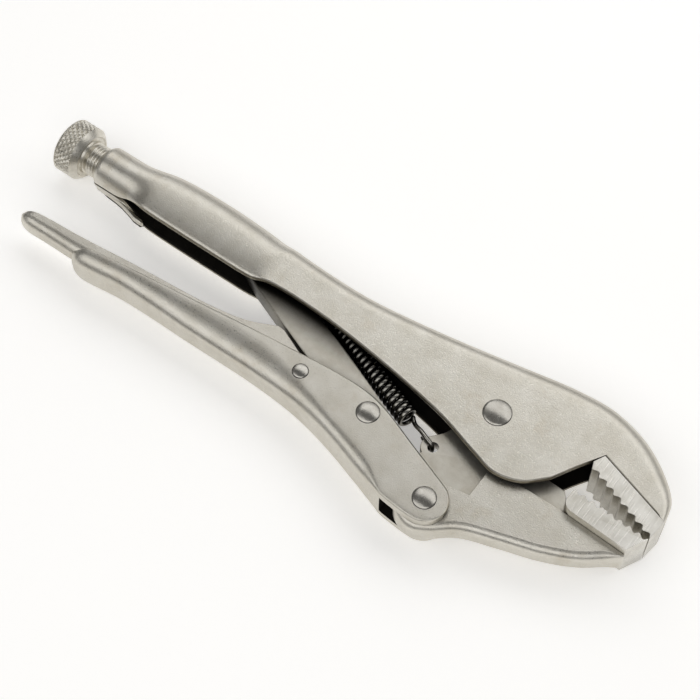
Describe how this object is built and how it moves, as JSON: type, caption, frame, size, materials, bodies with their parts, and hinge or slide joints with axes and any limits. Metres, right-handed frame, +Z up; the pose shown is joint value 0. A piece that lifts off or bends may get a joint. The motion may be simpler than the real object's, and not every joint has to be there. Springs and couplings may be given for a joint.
{
  "type": "locking pliers",
  "caption": "Locking pliers with a toggle-locked lower jaw, straight toothed jaws, release lever, adjusting screw with a knurled knob and a return spring.",
  "frame": {"origin": "centre of the bottom of the bounding box, with the tool lying on its side", "axes": "+X along the adjusting screw from the knob to the nose, +Y from the lower handle to the upper handle, +Z up along the rivets"},
  "size_m": [0.2495, 0.0735, 0.0202],
  "materials": {
    "nickel_satin": "satin",
    "ground_steel": "brushed",
    "polished_steel": "polished",
    "forged_steel": "satin",
    "screw_steel": "satin",
    "spring_wire": "polished"
  },
  "bodies": {
    "upper": {"upper_handle": "nickel_satin", "upper_jaw": "ground_steel", "main_rivet": "polished_steel", "return_spring": "spring_wire"},
    "jaw": {"lower_jaw": "ground_steel", "lower_jaw_shell": "nickel_satin"},
    "handle": {"lower_handle": "nickel_satin", "jaw_rivet": "polished_steel", "link_rivet": "polished_steel", "lever_rivet": "polished_steel"},
    "link": {"toggle_link": "forged_steel"},
    "lever": {"release_lever": "nickel_satin"},
    "screw": {"adjusting_screw": "screw_steel"},
    "knob": {"adjusting_knob": "screw_steel"}
  },
  "joints": [
    {"name": "jaw_open", "type": "hinge", "parent": "upper", "child": "jaw", "pos_m": [0.06125, 0.0116, 0.0101], "axis": [0, 0, -1], "range_deg": [0, 17.2], "deforming": ["return_spring"]},
    {"name": "handle_swing", "type": "hinge", "parent": "jaw", "child": "handle", "pos_m": [0.05955, -0.0269, 0.0101], "axis": [0, 0, 1], "range_deg": [0, 57.5]},
    {"name": "link_swing", "type": "hinge", "parent": "handle", "child": "link", "pos_m": [0.02755, -0.0128, 0.0101], "axis": [0, 0, 1], "range_deg": [-58.93, 0]},
    {"name": "lever_release", "type": "hinge", "parent": "handle", "child": "lever", "pos_m": [0.00085, -0.0135, 0.0101], "axis": [0, 0, 1], "range_deg": [-6.2, 0]},
    {"name": "knob_turn", "type": "hinge", "parent": "screw", "child": "knob", "pos_m": [-0.12075, 0.0157, 0.0101], "axis": [-1, 0, 0], "range_deg": [0, 4321]},
    {"name": "screw_travel", "type": "slide", "parent": "upper", "child": "screw", "axis": [-1, 0, 0], "range_m": [0, 0.01524]}
  ],
  "couplings": [
    {"joint": "handle_swing", "follows": "jaw_open", "ratio": 3.3256},
    {"joint": "link_swing", "follows": "jaw_open", "ratio": -3.4087},
    {"joint": "lever_release", "follows": "jaw_open", "ratio": -0.34884},
    {"joint": "knob_turn", "follows": "screw_travel", "rad_per_m": 4947.4}
  ]
}
